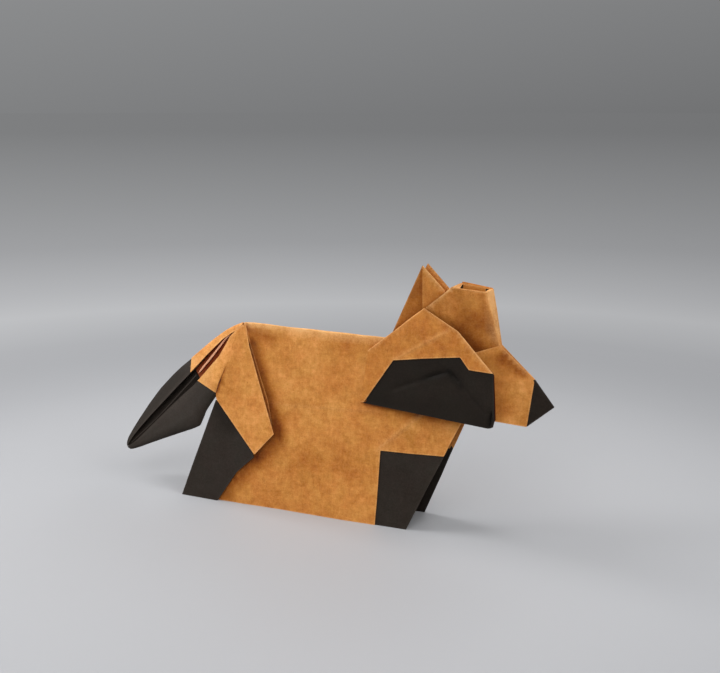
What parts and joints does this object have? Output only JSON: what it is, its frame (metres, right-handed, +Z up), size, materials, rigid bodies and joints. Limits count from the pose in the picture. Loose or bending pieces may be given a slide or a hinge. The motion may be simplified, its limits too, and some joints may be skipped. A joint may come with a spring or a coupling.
{
  "type": "origami raccoon dog",
  "caption": "Folded paper animal that stands on two tent-like walls, with an open-topped head, paired cheek flaps and ears, and a slotted tail.",
  "frame": {"origin": "on the floor, midway between nose tip and tail tip, in the plane between the two walls", "axes": "+X towards the nose, +Y to the animal's left, +Z up"},
  "size_m": [0.116, 0.0152, 0.0628],
  "materials": {
    "paper": "matt, mottled orange-brown on the outer side and charcoal black on the reverse"
  },
  "bodies": {
    "root": {"raccoon_dog": "paper"}
  },
  "joints": []
}
